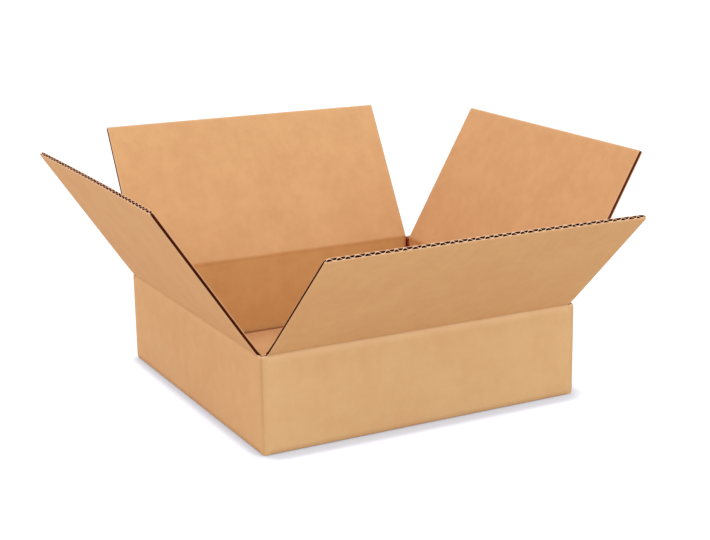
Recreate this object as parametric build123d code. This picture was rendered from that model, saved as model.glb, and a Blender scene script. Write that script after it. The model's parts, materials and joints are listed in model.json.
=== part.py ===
# A shallow square shipping carton of single-wall corrugated board, standing open.
# One sheet is scored, slotted and folded: four walls, a glued lap at one corner, a closed
# bottom of two layers, and four top flaps that swing on their creases.
# The flaps move, so each is a body of its own; the rest of the sheet is one body.
# Millimetres. The origin is the centre of the underside, +Z is up, and the front faces -Y.

import os
from math import cos, pi, radians, sin, sqrt, tan

from build123d import *

# The box
inside_width = 304.8        # between the left and right walls
inside_depth = 304.8        # between the front and back walls
inside_height = 75.0        # from the inside floor to the closed inner flaps
board = 4.0                 # thickness of the board
corner_radius = 4.0         # outside of the upright folds
floor_edge_radius = 3.0     # outside of the folds round the bottom
fold_squash = 3.5           # the walls' lower ends are pressed down past the inner layer
slot_inset = 6.75           # a flap's end stops this far inside the wall beside it
meeting_gap = 0.8           # between two flaps that meet in the middle

# The board's section
flute_pitch = 8.2           # from one crest of the wave to the next
liner = 0.4                 # each flat outer paper
medium = 0.3                # the waved paper between them
crushed_band = 4.0          # the flutes are pressed shut this close to a flap's axis

# The glued lap at the back right corner
lap_width = 35.0
lap_setback = 1.5           # from the slots above and from the underside
lap_taper = 15.0            # degrees at its two ends

# The top creases
clearance = 0.3             # round each crease, and between closed flaps
post_rise = 0.8             # the slots end this far above the lower axes
outward_limit = 120.0       # degrees from upright, just clear of the table

# How far each flap stands open, in degrees from upright
front_flare = 47.0
right_flare = 30.0
back_flare = 30.0
left_flare = 33.5

# Sizes that follow from these
outer_width = inside_width + 2 * board
outer_depth = inside_depth + 2 * board
floor_top = 2 * board
flap_reach = (min(outer_width, outer_depth) - meeting_gap) / 2

# The front and back flaps close on top of the left and right ones, so their axes are
# higher and further in. Half of that step is height and half is depth in the board,
# which leaves all four free edges in one line, as the edge of one sheet is.
axis_step = (board + clearance) / 2
upper_inset = (board + axis_step) / 2
lower_inset = (board - axis_step) / 2
lower_axis = floor_top + inside_height + board - lower_inset
upper_axis = lower_axis + axis_step
nose_radius = upper_inset
post_top = lower_axis + post_rise
wall_foot = board - fold_squash


def wave_underside(x):
    """Height above mid board of the waved paper's underside, x away from a crest."""
    swing = board / 2 - liner - medium / 2
    turn = 2 * pi / flute_pitch
    slope = swing * turn * sin(turn * x)
    return swing * cos(turn * x) - medium / 2 * sqrt(1 + slope * slope)


def flute_hole(side):
    """The end of one flute: flat on one liner, with the waved paper arched over it."""
    base = liner - board / 2
    foot, flank, shoulder = 0.42 * flute_pitch, 0.25 * flute_pitch, 0.10 * flute_pitch
    right_half = [
        (shoulder, wave_underside(shoulder)),
        (flank, wave_underside(flank)),
        (foot, base),
    ]
    outline = [(-x, y) for x, y in reversed(right_half)] + right_half
    return make_face(Polyline([(x, side * y) for x, y in outline], close=True))


def fluted_section(width):
    """The board cut across its flutes, with half a flute standing open at each end."""
    half_pitches = round(2 * width / flute_pitch)
    step = width / half_pitches
    holes = [
        Pos(-width / 2 + i * step, 0) * flute_hole(1 if i % 2 else -1)
        for i in range(half_pitches + 1)
    ]
    return Rectangle(width, board) - holes


def upright_flap(width, axis_inset, flare):
    """A flap standing straight up, with its axis along X and its outer face to -Y.

    Its root is a round nose about the axis, which fills the crease at every angle. The
    nose is trimmed to be flush with both faces of the wall when the flap is at its flare.
    """
    middle = board / 2 - axis_inset
    length = flap_reach - axis_inset
    fluted = Pos(0, middle, crushed_band) * extrude(fluted_section(width), length - crushed_band)
    root = Pos(0, middle, crushed_band / 2) * Box(width, board, crushed_band)
    below_axis = Pos(0, 0, -nose_radius) * Box(width, 4 * nose_radius, 2 * nose_radius)
    in_wall = Rot(-flare, 0, 0) * Pos(0, middle, 0) * Box(width, board, 4 * nose_radius)
    nose = (Rot(0, 90, 0) * Cylinder(nose_radius, width)) & below_axis & in_wall
    return fluted + root + nose


def wall_top_cut(width, axis_inset, axis_height, bevelled):
    """What is taken off the front wall's top, and off a lap on it, so that a flap can swing."""
    low_side, high_side = -board, 2 * board

    def top_of_wall(depth):
        if not bevelled:
            return axis_inset - board - clearance
        dip = radians(outward_limit - 90)
        return -(axis_inset + clearance) / cos(dip) - (axis_inset - depth) * tan(dip)

    outline = [
        (low_side, top_of_wall(low_side)),
        (high_side, top_of_wall(high_side)),
        (high_side, 3 * board),
        (low_side, 3 * board),
    ]
    face = Plane.YZ * make_face(Polyline(outline, close=True))
    return Pos(0, 0, axis_height) * extrude(face, width / 2 + clearance, both=True)


# Each flap: its name, the turn about Z from the front, its flare, and whether it is one
# of the upper pair, which closes last
flaps = [
    ("front_flap", 0, front_flare, True),
    ("right_flap", 90, right_flare, False),
    ("back_flap", 180, back_flare, True),
    ("left_flap", 270, left_flare, False),
]


def side_sizes(upper):
    """A side's flap width, distance of its wall from the centre, axis inset and height."""
    if upper:
        return outer_width - 2 * slot_inset, outer_depth / 2, upper_inset, upper_axis
    return outer_depth - 2 * slot_inset, outer_width / 2, lower_inset, lower_axis


def placed_flap(turn, flare, upper):
    """A flap at its flare on its own side of the box."""
    width, wall, axis_inset, axis_height = side_sizes(upper)
    on_axis = Pos(0, axis_inset - wall, axis_height) * Rot(flare, 0, 0)
    return Rot(0, 0, turn) * on_axis * upright_flap(width, axis_inset, flare)


def walls():
    """The four walls as one folded band."""
    height = post_top - wall_foot
    band = extrude(RectangleRounded(outer_width, outer_depth, corner_radius), height)
    band = fillet(band.faces().sort_by(Axis.Z)[0].edges(), floor_edge_radius)
    band = Pos(0, 0, wall_foot) * band
    return band - Pos(0, 0, post_top / 2) * Box(inside_width, inside_depth, 2 * post_top)


def bottom_layer(upper):
    """Two bottom flaps that meet in the middle. The front and back pair lies under."""
    width, wall, axis_inset, axis_height = side_sizes(upper)
    panel = Pos(0, flap_reach / 2 - wall, board / 2) * Box(width, flap_reach, board)
    if upper:
        fold = panel.edges().filter_by(Axis.X).sort_by(Axis.Y)[:2].sort_by(Axis.Z)[0]
        panel = fillet(fold, floor_edge_radius)
        return panel + Rot(0, 0, 180) * panel
    panel = Pos(0, 0, board) * panel
    return Rot(0, 0, 90) * panel + Rot(0, 0, 270) * panel


def glued_lap():
    """The lap that folds from the right wall round the corner on to the back wall."""
    root, tip = outer_width / 2, outer_width / 2 - board - lap_width
    low, high = lap_setback, post_top - lap_setback
    slant = lap_width * tan(radians(lap_taper))
    outline = [
        (root, low),
        (root, high),
        (root - board, high),
        (tip, high - slant),
        (tip, low + slant),
        (root - board, low),
    ]
    face = Plane.XZ * make_face(Polyline(outline, close=True))
    lap = Pos(0, outer_depth / 2 + board, 0) * extrude(face, board + corner_radius)
    fold = lap.edges().filter_by(Axis.Z).sort_by(Axis.X)[-2:].sort_by(Axis.Y)[-1]
    return fillet(fold, corner_radius)


def joint_slit():
    """Where the back wall stops short of the right wall, in line with its own flap."""
    width = slot_inset - board
    across = outer_width / 2 - board - width / 2
    along = outer_depth / 2 - board / 2
    return Pos(across, along, post_top / 2) * Box(width, board, 2 * post_top)


def carton():
    """Everything but the top flaps: the walls, the bottom's two layers and the lap."""
    sheet = walls() + glued_lap() - joint_slit()
    for name, turn, flare, upper in flaps:
        width, wall, axis_inset, axis_height = side_sizes(upper)
        cut = wall_top_cut(width, axis_inset, axis_height, upper)
        sheet -= Rot(0, 0, turn) * Pos(0, -wall, 0) * cut
    return sheet + bottom_layer(True) + bottom_layer(False)


os.makedirs("parts", exist_ok=True)
export_step(carton(), "parts/carton.step")
for name, turn, flare, upper in flaps:
    export_step(placed_flap(turn, flare, upper), f"parts/{name}.step")
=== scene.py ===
# %% [markdown]
# # A shallow corrugated shipping carton, standing open
# The object is one sheet of brown single-wall corrugated board. It is scored, slotted and
# folded into four walls, with a glued lap at one corner, a closed bottom and four top flaps
# that stand open. It could be made of flat boxes with a wave painted on their edges, but the
# open flutes are what the eye knows the board by. So this lesson makes it as a box plant
# does. It lays the three papers of the board flat, cuts them, puts the waved paper between
# the two flat ones, and only then folds them along the scores.
#
# The measured model is the fixed frame. It says how big the box is and where each flap
# turns, so the first step is to load it and to keep its outer box.

import json
import math

import bmesh
import bpy
from mathutils import Matrix, Vector, noise


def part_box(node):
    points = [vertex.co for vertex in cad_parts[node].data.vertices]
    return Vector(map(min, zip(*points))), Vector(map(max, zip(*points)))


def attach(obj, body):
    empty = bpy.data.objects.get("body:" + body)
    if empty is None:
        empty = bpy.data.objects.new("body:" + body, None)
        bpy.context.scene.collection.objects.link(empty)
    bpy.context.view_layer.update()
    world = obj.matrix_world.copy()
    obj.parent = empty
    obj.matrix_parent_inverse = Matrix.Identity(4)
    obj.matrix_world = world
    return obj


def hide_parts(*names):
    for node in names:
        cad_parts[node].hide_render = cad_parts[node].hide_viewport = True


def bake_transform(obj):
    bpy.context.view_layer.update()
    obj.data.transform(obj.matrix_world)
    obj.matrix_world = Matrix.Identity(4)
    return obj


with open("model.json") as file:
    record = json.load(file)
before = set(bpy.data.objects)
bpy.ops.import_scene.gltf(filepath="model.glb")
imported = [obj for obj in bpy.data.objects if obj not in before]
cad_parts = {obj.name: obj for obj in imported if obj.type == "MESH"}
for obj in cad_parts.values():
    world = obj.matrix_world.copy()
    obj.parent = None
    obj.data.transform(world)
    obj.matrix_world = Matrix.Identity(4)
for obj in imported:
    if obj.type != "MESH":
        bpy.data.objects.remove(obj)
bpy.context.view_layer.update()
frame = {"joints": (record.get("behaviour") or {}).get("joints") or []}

# %% [markdown]
# ## Sizes
# Everything is in metres, so a millimetre gets a name. The board is 4 mm thick, which is
# the common C flute: two flat liners of 0.4 mm, and a waved medium of 0.3 mm whose crests
# are 8.2 mm apart. These are the real sizes. How big the box is, where each flap turns and
# how far it stands open are read from the measured model, so that the papers stay with it.

# %% The board and the box
MM = 0.001
BOARD = 4.0 * MM
LINER = 0.4 * MM
MEDIUM = 0.3 * MM
PITCH = 8.2 * MM
MIDDLE = BOARD / 2

carton_low, carton_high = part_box("carton")
HALF = -carton_low.x
FLAP_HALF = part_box("front_flap")[1].x
POST_TOP = carton_high.z
TURNS = {"front": 0, "right": 90, "back": 180, "left": 270}
hinges = {joint["child"]: joint for joint in frame["joints"]}


def read_side(name):
    """What the measured model says about the flap on one side of the box."""
    hinge = hinges[f"{name}_flap"]
    axis = Vector(hinge["pos_m"])
    # A closed flap is level, so its lowest angle says how far it stands open at rest
    flare = math.radians(-hinge["range_deg"][0] - 90)
    inset = HALF - max(abs(axis.x), abs(axis.y))
    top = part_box(f"{name}_flap")[1].z
    length = (top - axis.z - (BOARD - inset) * math.sin(flare)) / math.cos(flare)
    # The axis isn't in the middle of the board, where the papers bend
    lift = (MIDDLE - inset) * math.tan(flare / 2)
    return {
        "turn": Matrix.Rotation(math.radians(TURNS[name]), 3, "Z"),
        "axis": axis,
        "flare": flare,
        "bend": axis.z + lift,
        "reach": length + lift,
    }


sides = {name: read_side(name) for name in TURNS}
for name, side in sides.items():
    print(name, "flare", round(math.degrees(side["flare"]), 1), "reach", round(side["reach"], 4))

# %% [markdown]
# ## A line with soft bends
# Seen from its edge, a folded board is a line with bends. A score doesn't give a sharp
# corner: the board is pressed thin there and turns over a few millimetres. A bevel would
# round the corner after folding, but it would lose the papers and their waves. A curve with
# three control points does better. It leaves the first leg in its own direction, joins the
# second in its own, and has no kink between them. A weight on the middle point draws the
# curve closer to the corner. The outer and inner papers follow the same line at their own
# distance from it, so the function walks beside the line as well as along it.
#
# One helper then folds the band of walls, seen from above, and each flap, seen from its end.


# %% A line with soft bends
def bent_line(points, softness, sharpness=1.0):
    """The distances of a line's bends, and a function that walks beside the line.

    The function takes a distance from the first point and a distance to the left.
    """
    points = [Vector(point) for point in points]
    ways = [(end - start).normalized() for start, end in zip(points, points[1:])]
    lefts = [Vector((-way.y, way.x)) for way in ways]
    marks = [0.0]
    for start, end in zip(points, points[1:]):
        marks.append(marks[-1] + (end - start).length)

    def walk(distance, left):
        for leg, (bend, mark) in enumerate(zip(points[1:-1], marks[1:-1])):
            share = (distance - mark + softness) / (2 * softness)
            if 0 < share < 1:
                before, after = lefts[leg], lefts[leg + 1]
                controls = [
                    bend - softness * ways[leg] + left * before,
                    bend + left * (before + after) / (1 + before.dot(after)),
                    bend + softness * ways[leg + 1] + left * after,
                ]
                weights = [(1 - share) ** 2, 2 * sharpness * share * (1 - share), share**2]
                place = sum((w * c for w, c in zip(weights, controls)), Vector((0, 0)))
                return place / sum(weights)
        leg = sum(distance > mark for mark in marks[1:-1])
        return points[leg] + ways[leg] * (distance - marks[leg]) + left * lefts[leg]

    return marks[1:-1], walk


def near(distance, width):
    """One at no distance, and falling smoothly to nothing over a few widths."""
    return math.exp(-((distance / width) ** 2))


print("a soft bend passes", bent_line([(0, 0), (1, 0), (1, 1)], 0.5)[1](1.0, 0.0))

# %% [markdown]
# ## The sheet around the box
# From above, the middle of the walls is a line that starts at the slit by the back right
# corner, goes round by the left, the front and the right, and ends in the lap that is glued
# outside the back wall. A distance along this line is a place across the flat sheet, and a
# height is a place along its flutes. The whole sheet then has one pair of flat places, which
# the wave and the paper's fibres can follow round every corner.

# %% The line of the walls
WALL_SCORE = 2.5 * MM  # how far from a corner the board starts to turn
SHARPNESS = 2.0
LAP_REACH = 37.0 * MM  # from the middle of the corner to the lap's tip
CLEARANCE = 0.3 * MM  # round each crease, as in the measured model

centre_line = HALF - MIDDLE
lap_line = carton_high.y - MIDDLE
lap_end = centre_line - LAP_REACH
corners, walk_walls = bent_line(
    [
        (FLAP_HALF, centre_line),
        (-centre_line, centre_line),
        (-centre_line, -centre_line),
        (centre_line, -centre_line),
        (centre_line, lap_line),
        (lap_end, lap_line),
    ],
    WALL_SCORE,
    SHARPNESS,
)
middles = {
    "back": FLAP_HALF,
    "left": corners[0] + centre_line,
    "front": corners[1] + centre_line,
    "right": corners[2] + centre_line,
}
wall_end = corners[3] - (lap_line - HALF)
lap_shoulder = corners[3] + centre_line - FLAP_HALF - CLEARANCE
sheet_end = corners[3] + centre_line - lap_end
print("the sheet is", round(sheet_end, 4), "m long")
print("its corners are at", [round(corner, 4) for corner in corners])


def nearest_side(across):
    """The side that a place across the sheet belongs to, and how far from its middle."""
    name = min(middles, key=lambda side: abs(across - middles[side]))
    return name, across - middles[name]


# %% [markdown]
# ## Flat papers
# A paper starts as a flat grid, with X across the flutes and Y along them. Cutting planes
# add the rows and columns that the folds need. Rows stand close together where the paper
# bends and far apart where it stays flat, which keeps the mesh small without a modifier.


# %% Lay a paper flat
def flat_grid(across, rows, columns, cuts=()):
    """A flat grid between two places across, with rows at the given heights."""
    sheet = bmesh.new()
    low, high = across
    bmesh.ops.create_grid(sheet, x_segments=columns, y_segments=1, size=0.5)
    bmesh.ops.scale(sheet, vec=(high - low, rows[-1] - rows[0], 1), verts=sheet.verts)
    middle = ((low + high) / 2, (rows[0] + rows[-1]) / 2, 0)
    bmesh.ops.translate(sheet, vec=middle, verts=sheet.verts)
    planes = [((0, row, 0), (0, 1, 0)) for row in rows[1:-1]]
    planes += [((cut, 0, 0), (1, 0, 0)) for cut in cuts]
    for place, normal in planes:
        parts = sheet.verts[:] + sheet.edges[:] + sheet.faces[:]
        bmesh.ops.bisect_plane(sheet, geom=parts, dist=1e-7, plane_co=place, plane_no=normal)
    return sheet


def spaced(low, high, bends, wide=18 * MM, fine=0.6 * MM, zone=4 * MM):
    """Places from low to high, close together near the bends and far apart elsewhere."""
    places = [low]
    while places[-1] < high - 1e-9:
        here = places[-1]
        step = wide
        for bend in bends:
            if abs(here - bend) < zone:
                step = fine
            elif here < bend:
                step = min(step, bend - zone - here + 1e-6)
        places.append(min(high, here + step))
    return places


def columns_across(kind, width, per_pitch):
    """How many columns a paper needs. A waved one needs more to a pitch than a flat one."""
    flat, waved = per_pitch
    return round(width / PITCH * (waved if kind == "medium" else flat))


print("rows over 100 mm with one bend:", len(spaced(0, 100 * MM, [50 * MM])))

# %% [markdown]
# ## From flat papers to corrugated board
# Solidify gives a paper its thickness while it is still flat, which is far easier than after
# folding. Then each paper is lifted to its height in the board. A liner stays almost flat
# and only sinks a little between the crests that it is glued to, which is the faint
# washboard of real board. The medium is a cosine wave that wanders a little, as hot paper
# does when it comes off the corrugating roll.
#
# Knives leave a burr. Each paper swells close to a cut edge, the soft medium far more than
# the liners, and the wave is squeezed out of its round shape. Each point keeps its flat
# place in an attribute named blank. The paper's fibres are drawn from it later, so they run
# on over the folds as they do on the real sheet. A second attribute says how torn the paper
# is at its cut edges, and on the outside it also carries a painted highlight under the
# creases.

# %% Corrugate a paper
WASHBOARD = 0.03 * MM
LINER_BURR = 0.1  # the share by which a liner swells at a cut edge
MEDIUM_BURR = 1.4
SQUEEZE = 2.2  # how much of its round shape the wave loses there
WANDER = 0.5  # how far the wave strays, in radians
WANDERS_PER_METRE = 40
BURR_WANDER = 1.2  # and how much further at a cut edge
BURRS_PER_METRE = 160
CUT_FRAY = 0.6
KINDS = ("outer", "medium", "inner")
OUTSIDE, INSIDE, FLUTING, CUT_EDGE = range(4)
PAPER_SIDES = {
    "outer": (OUTSIDE, FLUTING),
    "medium": (FLUTING, FLUTING),
    "inner": (FLUTING, INSIDE),
}


def paper_height(kind, across, along, wave_start, worn, below):
    """How high a point of one of the papers lies above the middle of the board."""
    place = Vector((across, along, 0))
    wander = WANDER * noise.noise(place * WANDERS_PER_METRE)
    wander += BURR_WANDER * worn * noise.noise(place * BURRS_PER_METRE)
    turn = 2 * math.pi * (across - wave_start) / PITCH + wander
    liner, medium = LINER * (1 + LINER_BURR * worn), MEDIUM * (1 + MEDIUM_BURR * worn)
    if kind == "outer":
        top = MIDDLE - WASHBOARD * (1 - math.cos(turn)) / 2
        return top - liner if below else top
    if kind == "inner":
        foot = WASHBOARD * (1 + math.cos(turn)) / 2 - MIDDLE
        return foot if below else foot + liner
    swing = MIDDLE - liner - medium / 2
    steepness = math.hypot(1, swing * 2 * math.pi / PITCH * math.sin(turn))
    squeeze = SQUEEZE * worn
    wave = math.cos(turn) * (1 + squeeze) / (1 + squeeze * abs(math.cos(turn)))
    return swing * wave + medium * steepness * (-0.5 if below else 0.5)


def corrugate(kind, sheet, wave_start, wear, painted_highlight=None):
    """Gives a flat grid its thickness and its materials, and lifts it to its height."""
    thickness = MEDIUM if kind == "medium" else LINER
    sheet.normal_update()
    bmesh.ops.solidify(sheet, geom=sheet.faces[:], thickness=thickness)
    sheet.normal_update()
    upper, lower = PAPER_SIDES[kind]
    for face in sheet.faces:
        up = face.normal.z
        face.material_index = CUT_EDGE if abs(up) < 0.5 else upper if up > 0 else lower
    blank = sheet.verts.layers.float_vector.new("blank")
    fray_and_highlight = sheet.verts.layers.float.new("fray_and_highlight")
    for vert in sheet.verts:
        across, along, depth = vert.co
        worn = wear(across, along)
        below = depth < -thickness / 2
        vert.co.z = paper_height(kind, across, along, wave_start, worn, below)
        vert[blank] = vert.co
        vert[fray_and_highlight] = CUT_FRAY * worn
        # On the outside liner a painted highlight under the creases is kept with the fray
        if painted_highlight and kind == "outer" and not below:
            vert[fray_and_highlight] = max(vert[fray_and_highlight], painted_highlight(across, along))
    return sheet


crest = paper_height("medium", 0, 0, 0, worn=0, below=False)
print("a crest is", round(crest / MM, 2), "mm above the middle of the board")

# %% [markdown]
# ## Folding
# A folding rule takes a flat place, a distance across, a distance along and a height in the
# board, and says where it ends up, how much pressed line and painted shade it gets, and how
# much painted shade it gets for lying inside the walls. At a score the three papers are
# pressed together, so the height there is made smaller. Pressed paper is also a little
# darker, and the same mark paints shade: darker lines down the upright corners, along the
# bottom folds and under the creases, and dark paper in the slit and at the foot of the walls
# inside, where shade falls. The insides of the walls are painted a little browner than the
# flaps, as painted shade for the warm light that bounces about inside the box. Two more
# attributes keep these for the material.

# %% Fold and join
SHARP_ANGLE = math.radians(50)


def fold_sheet(sheet, rule):
    """Moves each point of a flat sheet to its folded place."""
    # Painted shade: the first attribute is the pressed line together with shade painted in
    # corners, creases, the slit and the foot of the walls; the second paints the walls' insides
    # browner
    press_and_shade = sheet.verts.layers.float.new("press_and_shade")
    inside_shade = sheet.verts.layers.float.new("inside_shade")
    for vert in sheet.verts:
        vert.co, vert[press_and_shade], vert[inside_shade] = rule(*vert.co)
    sheet.normal_update()
    for face in sheet.faces:
        face.smooth = True
    for edge in sheet.edges:
        if edge.is_manifold and edge.calc_face_angle() > SHARP_ANGLE:
            edge.smooth = False
    return sheet


def join_sheets(name, sheets, materials):
    """One object from several folded sheets."""
    mesh = bpy.data.meshes.new(name)
    whole = bmesh.new()
    for sheet in sheets:
        part = bpy.data.meshes.new("part")
        sheet.to_mesh(part)
        sheet.free()
        whole.from_mesh(part)
        bpy.data.meshes.remove(part)
    whole.to_mesh(mesh)
    triangles = sum(len(face.verts) - 2 for face in whole.faces)
    whole.free()
    piece = bpy.data.objects.new(name, mesh)
    bpy.context.scene.collection.objects.link(piece)
    for material in materials:
        mesh.materials.append(material)
    print(name, triangles, "triangles")
    return piece


print("edges sharper than", round(math.degrees(SHARP_ANGLE)), "degrees stay sharp")

# %% [markdown]
# ## Colours and nodes
# Colours are written as the sRGB values that a paint program shows, and one function turns
# them into the linear values that light needs. Another adds a node and sets or links its
# inputs. A third tells the rays that see a white studio from those that light the carton.


# %% Colour and node helpers
def srgb(code):
    """A linear colour from an sRGB hex value such as #d7ab7c."""
    values = [int(code[place : place + 2], 16) / 255 for place in (1, 3, 5)]
    linear = [v / 12.92 if v <= 0.04045 else ((v + 0.055) / 1.055) ** 2.4 for v in values]
    return (*linear, 1.0)


def add_node(material, kind, inputs=None, **settings):
    """Adds a node, with its settings, and with each input set or linked."""
    node = material.node_tree.nodes.new(kind)
    for setting, value in settings.items():
        setattr(node, setting, value)
    for socket, value in (inputs or {}).items():
        if isinstance(value, bpy.types.NodeSocket):
            material.node_tree.links.new(value, node.inputs[socket])
        else:
            node.inputs[socket].default_value = value
    return node


def new_material(name):
    """An empty material with an output node."""
    material = bpy.data.materials.new(name)
    material.use_nodes = True
    material.node_tree.nodes.clear()
    return material, add_node(material, "ShaderNodeOutputMaterial")


def seen_rays(material):
    """One for the rays of the camera, of reflections and of glass, and nought for others."""
    path = add_node(material, "ShaderNodeLightPath").outputs
    seen = path["Is Camera Ray"]
    for ray in ("Is Glossy Ray", "Is Transmission Ray"):
        inputs = {0: seen, 1: path[ray]}
        seen = add_node(material, "ShaderNodeMath", inputs, operation="MAXIMUM").outputs[0]
    return seen


print("kraft brown in linear values:", [round(value, 3) for value in srgb("#dfb583")])

# %% [markdown]
# ## Kraft paper
# The liners are kraft paper: unbleached pine pulp, machine-finished and uncoated. It is
# matt. It has fibres that lie mostly around the box, and light and dark clouds where the
# pulp settled unevenly. A picture of paper would show the same, but noise in real sizes
# needs no picture and doesn't repeat. The medium is recycled paper. It is darker, and hardly
# any light gets into the flutes, so its colour is made darker still, as painted shade. All
# four materials are the same paper recipe with other colours: a light and a dark one for the
# clouds, one for pressed paper and painted shade, and one for frayed paper and the painted
# highlight.

# %% Kraft papers
CLOUD = 12.5 * MM
DRIFT = 40 * MM  # broad drifts under the clouds
FIBRE_LENGTH = 2 * MM
FIBRE_WIDTH = 0.4 * MM  # ten times the real width, which is too fine to show
FIBRE_CONTRAST = 0.035
TOOTH = 0.625 * MM  # the matt surface's roughness, coarser than it is so that it shows
RELIEF = 0.06 * MM
# Painted shade: the insides of the walls are tinted by this tone, a little browner, for the warm
# light that bounces inside the box
INSIDE_SHADE_TONE = "#fcfcec"


def kraft(name, light, dark, pressed, fray_and_highlight_tone, sheen=0.5):
    """Uncoated kraft paper, with its clouds and fibres drawn from the flat sheet."""
    material, output = new_material(name)

    def node(kind, inputs=None, **settings):
        return add_node(material, kind, inputs, **settings).outputs

    flat = node("ShaderNodeAttribute", attribute_name="blank")["Vector"]
    clouds = node(
        "ShaderNodeTexNoise", {"Vector": flat, "Scale": 1 / CLOUD, "Detail": 4, "Roughness": 0.6}
    )["Fac"]
    drifts = node("ShaderNodeTexNoise", {"Vector": flat, "Scale": 1 / DRIFT, "Detail": 2})["Fac"]
    # Each noise is about a half on average, so their sum is about one
    both = node("ShaderNodeMath", {0: clouds, 1: drifts}, operation="ADD")[0]
    amount = node("ShaderNodeMapRange", {"Value": both, "From Min": 0.75, "From Max": 1.25})[0]
    inputs = {"Factor": amount, 6: srgb(light), 7: srgb(dark)}
    cloudy = node("ShaderNodeMix", inputs, data_type="RGBA", blend_type="MIX")[2]

    sizes = (1 / FIBRE_LENGTH, 1 / FIBRE_WIDTH, 1 / FIBRE_WIDTH)
    stretched = node("ShaderNodeMapping", {"Vector": flat, "Scale": sizes})[0]
    fibres = node("ShaderNodeTexNoise", {"Vector": stretched, "Scale": 1.0, "Detail": 3})["Fac"]
    tones = {"To Min": 1 - FIBRE_CONTRAST, "To Max": 1 + FIBRE_CONTRAST}
    inputs = {"Value": fibres, "From Min": 0.3, "From Max": 0.7, **tones}
    grain = node("ShaderNodeMapRange", inputs)[0]
    colour = node("ShaderNodeVectorMath", {0: cloudy, "Scale": grain}, operation="SCALE")[0]

    # Painted shade: browner inside the walls; then darker where it was pressed and where shade
    # is painted, and paler where it is frayed and where a highlight is painted
    for attribute, tone, way in (
        ("inside_shade", INSIDE_SHADE_TONE, "MULTIPLY"),
        ("press_and_shade", pressed, "MIX"),
        ("fray_and_highlight", fray_and_highlight_tone, "MIX"),
    ):
        strength = node("ShaderNodeAttribute", attribute_name=attribute)["Fac"]
        inputs = {"Factor": strength, 6: colour, 7: srgb(tone)}
        colour = node("ShaderNodeMix", inputs, data_type="RGBA", blend_type=way)[2]

    tooth = node("ShaderNodeTexNoise", {"Vector": flat, "Scale": 1 / TOOTH, "Detail": 2})["Fac"]
    relief = node("ShaderNodeMath", {0: fibres, 1: tooth}, operation="ADD")[0]
    bump = node("ShaderNodeBump", {"Height": relief, "Strength": 0.35, "Distance": RELIEF})[0]
    paper = node(
        "ShaderNodeBsdfPrincipled",
        {
            "Base Color": colour,
            "Roughness": 0.85,
            "IOR": 1.5,
            "Specular IOR Level": sheen,
            "Normal": bump,
        },
    )
    material.node_tree.links.new(paper[0], output.inputs["Surface"])
    return material


papers = [
    # Unbleached kraft liner, machine-finished, as it faces out of the box, darker for pressed
    # lines and painted shade, and paler for frayed edges and the painted highlight
    kraft("kraft_liner_outside", "#dfb583", "#dcad7d", "#b08055", "#f8d0a8"),
    # The same liner's inside, a little browner for some painted warm shade, with reddish brown
    # for pressed lines and the painted shade in the slit and at the foot of the walls
    kraft("kraft_liner_inside", "#dba774", "#d49f6d", "#a8481a", "#f2d0ac"),
    # Recycled fluting medium and the insides of the flutes, too rough to shine, painted dark for
    # the shade inside the flutes
    kraft("fluting_medium_with_painted_shade", "#7c3212", "#682810", "#7c3212", "#7c3212", sheen=0.1),
    # The papers' knife-cut edges, where pale fibres are torn open
    kraft("cut_paper_edge", "#cfa379", "#c2946a", "#b9875a", "#f8c8a4"),
]
print("papers:", [paper.name for paper in papers])

# %% [markdown]
# ## Folding the walls and the lap
# The band of walls has a notch over and under each wall, where the flaps go on. Between the
# notches it ends in short posts at the corners, which the scoring rolls press thin. The
# board is pressed at the upright corners too, and at its foot, where it stands on the table.
# Close to a crease its outside is drawn in a little, because the crease pulls on it. The
# band's far end is the lap. Its two ends are tapered, and past the corner it is cut off at
# the height of the notches, so that it can't catch the back flap.

# %% How the band of walls folds
SEAM_TOP = 79.0 * MM  # the notches above start here, a little under the creases
SEAM_LOW = 9.0 * MM  # and those below end here
LAP_LOW = 1.5 * MM
LAP_HIGH = POST_TOP - LAP_LOW
LAP_SLANT = math.tan(math.radians(15))
LAP_PRESS = 0.98  # the glued lap is pressed a little thinner
GLUE_START = 9.0 * MM  # before the corner
# How dark the painted shade by the slit is, and how far it spreads
SLIT_SHADE = 0.6
SLIT_WIDTH = 2.5 * MM
SCORE_WIDTH = 2.5 * MM
WALL_PINCH = 0.15  # each pinch is the share by which a score presses the board
# Painted shade down the upright corners: the pressed score darkens them a little, and shade is
# painted on to tone down the light on the rounded corner
CORNER_LINES = ((0.32, 2.2 * MM), (0.25, 1.0 * MM))  # how dark and how wide
CORNER_LOW = 0.4  # the share of that darkness at the foot of the walls
POST_PINCH = 0.3
POST_WIDTH = 1.5 * MM
POST_SIDE = 1 * MM  # a post is pressed from this far beside its notch
FOOT_PINCH = 0.4
FOOT_WIDTH = 2 * MM
SINK = 0.6 * MM  # how far a crease draws the outside in
SINK_WIDTH = 9.0 * MM
SINK_END = 6 * MM  # from a corner


def taper_lap(across, along):
    """Where a point of the lap lies once its two ends are tapered."""
    narrow = max(0.0, across - lap_shoulder) * LAP_SLANT
    centre, half = (SEAM_TOP + LAP_LOW) / 2, (SEAM_TOP - LAP_LOW) / 2
    return centre + (along - centre) * (half - narrow) / half


def sink(name, offset, along, height):
    """How far the outside of the board is drawn in towards a crease, between the corners."""
    from_corner = centre_line - abs(offset)
    deepest = SINK * (1 - near(from_corner, SINK_END)) * (0.5 + height / BOARD)
    return deepest * near(along - sides[name]["bend"], SINK_WIDTH)


def slit_shade(across):
    """How much painted shade darkens the inside of the back wall at its end, where the sheet
    starts.
    """
    return SLIT_SHADE * near(across, SLIT_WIDTH)


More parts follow.
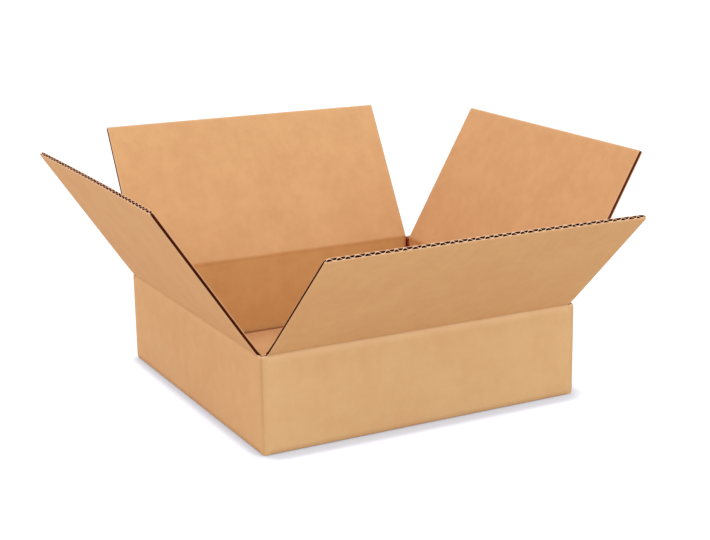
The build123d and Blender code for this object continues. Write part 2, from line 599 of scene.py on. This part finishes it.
def fold_walls(across, along, height):
    """Where a point of the band of walls goes, its pressed line and painted shade, and whether
    it gets the walls' painted inside shade.
    """
    name, offset = nearest_side(across)
    from_corner = min(abs(across - corner) for corner in corners)
    beyond = max(0.0, abs(offset) - FLAP_HALF)
    thickness = 1 - WALL_PINCH * near(from_corner, SCORE_WIDTH)
    post_end = near(POST_TOP - along, POST_WIDTH)
    thickness *= 1 - POST_PINCH * post_end * (1 - near(beyond, POST_SIDE))
    thickness *= 1 - FOOT_PINCH * near(along, FOOT_WIDTH)
    # Painted shade: a dark line down each upright corner, stronger towards the top
    press_and_shade = sum(shade * near(from_corner, width) for shade, width in CORNER_LINES)
    press_and_shade *= CORNER_LOW + (1 - CORNER_LOW) * along / POST_TOP
    lean = sink(name, offset, along, height)
    # Painted shade: the inside of the lap, which shows through the slit, is painted fully dark,
    # and the end of the back wall beside the slit a little, where little light gets in
    if height < 0:
        glued = across > corners[3] - GLUE_START
        press_and_shade = 1.0 if glued else max(press_and_shade, slit_shade(across))
    if across > wall_end:
        thickness *= LAP_PRESS
        lean = 0.0
        along = taper_lap(across, along)
    # The line goes round with the outside on its right
    place = walk_walls(across, lean - height * thickness)
    return Vector((*place, along)), press_and_shade, float(height < 0)


print("the back right corner is", [round(v, 4) for v in fold_walls(corners[3], 0.04, 0)[0]])

# %% [markdown]
# ## Cutting the walls and the lap
# The flat band is cut like the real one: first the columns that the upright folds need, then
# the notches, whose faces are simply deleted. A boolean would do the same on the folded
# walls, but it would leave ragged faces where the knife meets the wave. The wave is counted
# from the same place as the front flap's, so the flutes run on over that seam.

# %% Cut the band of walls
BURR_WIDTH = 1.2 * MM
FOLD_STEP = 0.5 * MM  # between the columns at a corner
BAND_COLUMNS = (4, 8)  # to a pitch, in the liners and in the medium
POST_FOOT = 0.4 * MM  # the posts end this far above the table
# The rows in between let the foot, the wall and the posts bend and shade smoothly
band_rows = [POST_FOOT, LAP_LOW, 4 * MM, SEAM_LOW, 30 * MM, 52 * MM, SEAM_TOP]
band_rows += [82 * MM, 84 * MM, LAP_HIGH, POST_TOP]


def wear_walls(across, along):
    """How near a point of the band of walls is to a cut edge."""
    beyond = abs(nearest_side(across)[1]) > FLAP_HALF
    return near(POST_TOP - along, BURR_WIDTH) if beyond else 0.0


def is_waste(place):
    """Whether a place on the flat band is cut away."""
    over = place.y > SEAM_TOP or place.y < SEAM_LOW
    in_notch = over and abs(nearest_side(place.x)[1]) < FLAP_HALF and place.x < wall_end
    past_lap = place.x > wall_end and not LAP_LOW < place.y < LAP_HIGH
    past_shoulder = place.x > lap_shoulder and place.y > SEAM_TOP
    return in_notch or past_lap or past_shoulder


def cut_band(kind):
    """The flat band, with its notches cut out, corrugated and folded."""
    notch_ends = [middles[side] + end for side in middles for end in (-FLAP_HALF, FLAP_HALF)]
    fold_columns = [corner + step * FOLD_STEP for corner in corners for step in range(-6, 7)]
    cuts = notch_ends + fold_columns + [wall_end, lap_shoulder]
    cuts = [cut for cut in cuts if 0 < cut < sheet_end]
    columns = columns_across(kind, sheet_end, BAND_COLUMNS)
    sheet = flat_grid((0, sheet_end), band_rows, columns, cuts)
    waste = [face for face in sheet.faces if is_waste(face.calc_center_median())]
    bmesh.ops.delete(sheet, geom=waste, context="FACES")
    wave_start = middles["front"] - FLAP_HALF
    return fold_sheet(corrugate(kind, sheet, wave_start, wear_walls), fold_walls)


walls = join_sheets("walls_and_lap", [cut_band(kind) for kind in KINDS], papers)
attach(walls, "carton")
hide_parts("carton")

# %% [markdown]
# ## The bottom
# The front and back flaps of the bottom lie outermost, and the left and right ones lie on
# them inside the box. All four are closed and glued. The front and back ones come round the
# bottom scores in one piece with their walls. The left and right walls turn in under the
# ends of the inner flaps, which lie one board higher. Four plain slabs would do for the
# solids, but here each flap is its three papers again, because the round score shows along
# the foot of the walls.
#
# A strip of papers as wide as a flap serves here and for the top flaps, with its own rule.

# %% Make the bottom
FLOOR_GAP = 0.8 * MM  # between two flaps that meet in the middle
FLOOR_SCORE = 2.2 * MM
FLOOR_SHARPNESS = 4.0
FLOOR_PINCH = 0.1
FLOOR_LINE = 0.6  # how dark the line along the bottom fold is: the pressed score, and painted shade
FLOOR_LINE_WIDTH = 1.8 * MM
FOOT_SHADE = 0.9  # and how dark the painted shade is at the inside foot of the walls, where they meet the floor
FOOT_HEIGHT = 7.5 * MM
FOOT_SPREAD = 2 * MM
HOOK_HEIGHT = 2.2 * MM  # where the left and right walls turn in
HOOK_END = 6.3 * MM


def floor_rule(name, points, first):
    """The folding rule of a strip of the bottom on one side of the box.

    The points are pairs: how far in from the wall's outer face, and how high.
    """
    bends, walk = bent_line(points, FLOOR_SCORE, FLOOR_SHARPNESS)

    def rule(across, along, height):
        from_bend = min((abs(along - first - bend) for bend in bends), default=1.0)
        pressed = near(from_bend, SCORE_WIDTH)
        place = walk(along - first, height * (1 - FLOOR_PINCH * pressed))
        local = Vector((across - middles[name], place.x - HALF, place.y))
        press_and_shade = FLOOR_LINE * near(from_bend, FLOOR_LINE_WIDTH)
        # Painted shade where the walls meet the floor inside
        if bends and height < 0:
            press_and_shade = max(press_and_shade, FOOT_SHADE * near(place.y - FOOT_HEIGHT, FOOT_SPREAD))
        return sides[name]["turn"] @ local, press_and_shade, 0.0

    return rule


def strip(kind, name, rule, rows, wear, per_pitch, painted_highlight=None):
    """One paper of a strip as wide as a flap, corrugated and folded."""
    across = (middles[name] - FLAP_HALF, middles[name] + FLAP_HALF)
    flat = flat_grid(across, rows, columns_across(kind, 2 * FLAP_HALF, per_pitch))
    return fold_sheet(corrugate(kind, flat, across[0], wear, painted_highlight), rule)


def bottom_strips(name, points, last, per_pitch=(3, 8)):
    """The three papers of a strip of the bottom, whose last row is the given height."""
    first = last - sum((Vector(b) - Vector(a)).length for a, b in zip(points, points[1:]))
    bends = [first + bend for bend in bent_line(points, FLOOR_SCORE)[0]]
    rule = floor_rule(name, points, first)
    rows = spaced(first, last, [first] + bends, wide=60 * MM, fine=0.9 * MM)

    def wear(across, along):
        return near(along - first, BURR_WIDTH)

    return [strip(kind, name, rule, rows, wear, per_pitch) for kind in KINDS]


flap_end = HALF - FLOOR_GAP / 2
outer_path = [(flap_end, MIDDLE), (MIDDLE, MIDDLE), (MIDDLE, SEAM_LOW)]
hook_path = [(HOOK_END, HOOK_HEIGHT), (MIDDLE, HOOK_HEIGHT), (MIDDLE, SEAM_LOW)]
inner_path = [(flap_end, BOARD + MIDDLE), (BOARD, BOARD + MIDDLE)]

lower, upper = [], []
for name in ("front", "back"):
    lower += bottom_strips(name, outer_path, SEAM_LOW)
for name in ("left", "right"):
    lower += bottom_strips(name, hook_path, SEAM_LOW)
    upper += bottom_strips(name, inner_path, 0.0, per_pitch=(4, 8))
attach(join_sheets("bottom_outer_flaps", lower, papers), "carton")
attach(join_sheets("bottom_inner_flaps", upper, papers), "carton")

# %% [markdown]
# ## How a top flap folds
# Each top flap starts a little below its crease, in the flat of the wall, so the bend, the
# pressed score and the open flutes are all one mesh. A flap that started at the crease would
# tear open there when it turns. The outside is pressed at the crease and the inside stays
# sharp. The flap isn't quite flat: it bows a little towards the inside of the box, and its
# crease wavers by a fraction of a millimetre. The slitting knife leaves its free edge a
# little thinner than the rest, and the slotting knife has crushed the ends of the front flap
# and, less, of the left one.

# %% The folding rule of a top flap
CREASE_SOFTNESS = 1.8 * MM
CREASE_PINCH = 0.35
EDGE_TRIM = 0.2 * MM  # keeps the free edge inside the measured model's box
EDGE_PINCH = 0.15
EDGE_WIDTH = 2 * MM
SIDE_PINCH = {"front": 0.38, "right": 0.0, "back": 0.0, "left": 0.15}
SIDE_WIDTH = 2.5 * MM
SIDE_START = 6 * MM  # above the crease
BOW = {"front": 0.7, "right": 0.3, "back": 0.5, "left": 0.8}  # in millimetres
WAVER = 0.25 * MM
WAVERS_PER_METRE = 25
WAVER_WIDTH = 5 * MM
LINE_WIDTH = 1.2 * MM
# Painted shade under the creases: a dark line just under each crease outside, for the pressed
# score and the shade in the fold, and a fainter one inside
CREASE_LINE = {"front": 0.6, "right": 0.4, "back": 0.4, "left": 0.35}  # outside
CREASE_LINE_BELOW = 0.5 * MM
INNER_LINE = 0.14
INNER_LINE_BELOW = 2.3 * MM
INSIDE_SHADE_BLEND = 1 * MM  # over which the walls' painted inside shade gives way to the flap's colour at the crease


def clamp(value):
    """A value kept between nought and one."""
    return min(1.0, max(0.0, value))


def flap_rule(name):
    """The folding rule of a top flap, which starts in the wall below its crease."""
    side = sides[name]
    bend, reach = side["bend"], side["reach"] - EDGE_TRIM
    top = bend + reach
    crease = Vector((MIDDLE, bend))
    lean = Vector((-math.sin(side["flare"]), math.cos(side["flare"])))
    points = [(MIDDLE, SEAM_TOP), crease, crease + lean * reach]
    walk = bent_line(points, CREASE_SOFTNESS, SHARPNESS)[1]

    def rule(across, along, height):
        offset = across - middles[name]
        climb = max(0.0, along - bend) / reach
        crushed = SIDE_PINCH[name] * clamp((along - bend) / SIDE_START)
        crushed *= near(FLAP_HALF - abs(offset), SIDE_WIDTH)
        height = MIDDLE - (MIDDLE - height) * (1 - crushed)
        outside = height > 0
        pressed = near(along - bend, SCORE_WIDTH) if outside else 0.0
        thickness = 1 - CREASE_PINCH * pressed
        thickness *= 1 - EDGE_PINCH * near(top - along, EDGE_WIDTH)
        bow = BOW[name] * MM * climb**2 * (1 - (offset / FLAP_HALF) ** 2)
        bow += sink(name, offset, along, height)
        place = walk(along - SEAM_TOP, height * thickness - bow)
        waver = WAVER * noise.noise(Vector((across * WAVERS_PER_METRE, 0, 0)))
        place.y += waver * near(along - bend, WAVER_WIDTH)
        place = side["turn"] @ Vector((offset, place.x - HALF, place.y))
        # Painted shade: a dark line just under the crease, and on the inside the walls' browner
        # painted shade below it
        if outside:
            line = CREASE_LINE[name] * near(along - bend + CREASE_LINE_BELOW, LINE_WIDTH)
            return place, line, 0.0
        inside_shade = clamp((bend - along) / INSIDE_SHADE_BLEND + 0.5)
        line = INNER_LINE * near(along - bend + INNER_LINE_BELOW, LINE_WIDTH)
        return place, max(line, slit_shade(across) * inside_shade), inside_shade

    return rule


highest = flap_rule("front")(middles["front"], sides["front"]["bend"] + 0.1, 0.0)[0]
print("the front flap's middle, 100 mm up:", [round(v, 4) for v in highest])

# %% [markdown]
# ## The top flaps
# Each flap is one mesh from the wall below its crease to its free edge, and the few
# millimetres of the crease turn by degrees, as board does. A painted highlight makes the
# outside pale just under the creases, most of all in front, where the pressed board bulges
# up into the light.

# %% Make the top flaps
FRAY_WIDTH = 0.8 * MM
SIDE_FRAY = 0.3
# How strong the painted highlight under each crease is, and where it lies
CREASE_HIGHLIGHT = {"front": 0.3, "right": 0.1, "back": 0.1, "left": 0.05}
CREASE_HIGHLIGHT_BELOW = 3 * MM
CREASE_HIGHLIGHT_WIDTH = 2.8 * MM
FLAP_COLUMNS = (6, 12)
FREE_EDGE_ROWS = (2.4 * MM, 1.4 * MM, 0.6 * MM, 0.0)  # below the free edge


def make_flap(name):
    """One top flap with its crease, from the wall below the crease to its free edge."""
    side = sides[name]
    bend, reach = side["bend"], side["reach"] - EDGE_TRIM
    top = bend + reach

    def wear(across, along):
        from_side = FLAP_HALF - abs(across - middles[name])
        side_wear = SIDE_FRAY * near(from_side, BURR_WIDTH) if along > bend else 0.0
        return max(near(top - along, FRAY_WIDTH), side_wear)

    # Painted highlight: the outside is painted pale just under the crease
    def painted_highlight(across, along):
        return CREASE_HIGHLIGHT[name] * near(along - bend + CREASE_HIGHLIGHT_BELOW, CREASE_HIGHLIGHT_WIDTH)

    edge_rows = [top - below for below in FREE_EDGE_ROWS]
    rows = spaced(SEAM_TOP, edge_rows[0], [bend]) + edge_rows[1:]
    rule = flap_rule(name)
    sheets = [strip(kind, name, rule, rows, wear, FLAP_COLUMNS, painted_highlight) for kind in KINDS]
    flap = join_sheets(f"{name}_flap_board", sheets, papers)
    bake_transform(flap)
    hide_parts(f"{name}_flap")


for name in TURNS:
    make_flap(name)

# %% [markdown]
# ## The floor
# The carton stands on a plain white floor. A floor that is lit to pure white would throw too
# much light back on the carton. So this one is matt and glows, for the camera and in
# reflections alone, which makes it pure white where nothing shades it. All other light meets
# a warm pale grey. The glow is dimmed close to whatever stands on the floor, which keeps the
# shadow at the carton's foot. It is measured twice, leaning to the front and to the left,
# because the photo's shadow is wide in front of the carton and narrow beside it.

# %% White floor
FLOOR_SIZE = 30  # metres each way from the middle
FRONT_REACH = 22 * MM
SIDE_REACH = 12 * MM
GLOW = 0.92


def white_floor():
    """A matt white floor that keeps the shadow and is otherwise pure white."""
    material, output = new_material("matt_white_floor")

    def node(kind, inputs=None, **settings):
        return add_node(material, kind, inputs, **settings).outputs

    def openness(reach, leaning, darkest, lightest, least):
        """How open the floor is towards one side, from the least value up to one."""
        lean = node("ShaderNodeCombineXYZ", dict(enumerate(leaning)))[0]
        inputs = {"Distance": reach, "Normal": lean}
        clear = node("ShaderNodeAmbientOcclusion", inputs, samples=16)["AO"]
        span = {"From Min": darkest, "From Max": lightest, "To Min": least}
        return node("ShaderNodeMapRange", {"Value": clear, **span})[0]

    before = openness(
        FRONT_REACH, leaning=(-0.3, 0.65, 0.7), darkest=0.58, lightest=0.88, least=0.58
    )
    beside = openness(
        SIDE_REACH, leaning=(0.6, -0.3, 0.74), darkest=0.44, lightest=0.87, least=0.7
    )
    shade = node("ShaderNodeMath", {0: before, 1: beside}, operation="MULTIPLY")[0]
    glow = node("ShaderNodeMath", {0: shade, 1: GLOW}, operation="MULTIPLY")[0]
    white = node("ShaderNodeEmission", {"Color": srgb("#eff3ff"), "Strength": glow})[0]
    shaded = node("ShaderNodeBsdfDiffuse", {"Color": srgb("#959595")})[0]
    both = node("ShaderNodeAddShader", {0: shaded, 1: white})[0]
    matt = node("ShaderNodeBsdfDiffuse", {"Color": srgb("#d8c4b0")})[0]
    surface = node("ShaderNodeMixShader", {0: seen_rays(material), 1: matt, 2: both})[0]
    material.node_tree.links.new(surface, output.inputs["Surface"])
    return material


floor_mesh = bpy.data.meshes.new("floor")
plane = bmesh.new()
bmesh.ops.create_grid(plane, x_segments=1, y_segments=1, size=FLOOR_SIZE)
plane.to_mesh(floor_mesh)
plane.free()
floor = bpy.data.objects.new("floor", floor_mesh)
bpy.context.scene.collection.objects.link(floor)
floor_mesh.materials.append(white_floor())
print("floor at", floor.location.z)

# %% [markdown]
# ## The light
# Three large lamps and a bright room give soft, even light with no hard shadow. The
# strongest lamp is cool and stands in front, a weak warm one lights the left side, and a
# third hangs overhead. Small lamps would show as streaks on the walls.


# %% Soft lamps
def soft_box(name, place, size, power, colour=(1, 1, 1), target=(0, 0, 0.08)):
    """A large square lamp that looks at the carton."""
    lamp = bpy.data.lights.new(name, "AREA")
    lamp.shape, lamp.size, lamp.energy, lamp.color = "SQUARE", size, power, colour
    holder = bpy.data.objects.new(name, lamp)
    bpy.context.scene.collection.objects.link(holder)
    holder.location = place
    away = Vector(target) - Vector(place)
    holder.rotation_euler = away.to_track_quat("-Z", "Y").to_euler()
    return holder


lamps = [
    soft_box("cool_front", (0.9, -2.7, 1.3), 1.6, 18, colour=(0.45, 0.85, 0.95)),
    soft_box("warm_left", (-2.7, -0.3, 0.8), 1.4, 2.5, colour=(1.0, 0.5, 0.2)),
    soft_box("overhead", (0.2, -0.3, 2.4), 2.2, 3),
]
print("lamps:", [lamp.name for lamp in lamps])

# %% [markdown]
# ## The room
# The world lights the carton from all sides. The camera and reflections see a plain white
# instead, at a strength of one, so the backdrop is white whatever the light is.

# %% Bright room with a white backdrop
ROOM_LIGHT = 1.12

world = bpy.data.worlds.new("studio")
bpy.context.scene.world = world
world.use_nodes = True
world.node_tree.nodes.clear()
sky_output = add_node(world, "ShaderNodeOutputWorld")
white = srgb("#ffffff")
ambient = add_node(world, "ShaderNodeBackground", {"Color": white, "Strength": ROOM_LIGHT})
backdrop = add_node(world, "ShaderNodeBackground", {"Color": white, "Strength": 1.0})
inputs = {0: seen_rays(world), 1: ambient.outputs[0], 2: backdrop.outputs[0]}
sky = add_node(world, "ShaderNodeMixShader", inputs)
world.node_tree.links.new(sky.outputs[0], sky_output.inputs["Surface"])
bpy.context.scene.view_settings.view_transform = "Standard"
print("room light:", ambient.inputs["Strength"].default_value)

# %% [markdown]
# ## The camera
# The place, the direction and the focal length were worked out from the photo: from the
# corners and edges of the box in the picture and their known places in the measured model.
# The lens is shifted sideways, because the photo shows only a part of the view that it
# was taken with.

# %% Camera
PICTURE_WIDTH = 710
FOCAL_PIXELS = 1532.4
CENTRE_PIXEL = 450
SENSOR = 36.0
CAMERA_PLACE = Vector((-627.8, -1261.9, 474.7)) * MM
AZIMUTH = math.radians(-30.5)
ELEVATION = math.radians(14.756)

lens = bpy.data.cameras.new("camera")
lens.sensor_width = SENSOR
lens.lens = FOCAL_PIXELS * SENSOR / PICTURE_WIDTH
lens.shift_x = (PICTURE_WIDTH / 2 - CENTRE_PIXEL) / PICTURE_WIDTH
lens.clip_start, lens.clip_end = 0.05, 100
camera = bpy.data.objects.new("camera", lens)
bpy.context.scene.collection.objects.link(camera)
camera.location = CAMERA_PLACE
camera.rotation_euler = (math.pi / 2 - ELEVATION, 0, AZIMUTH)
bpy.context.scene.camera = camera
print("camera", camera.location, "lens", round(lens.lens, 2))
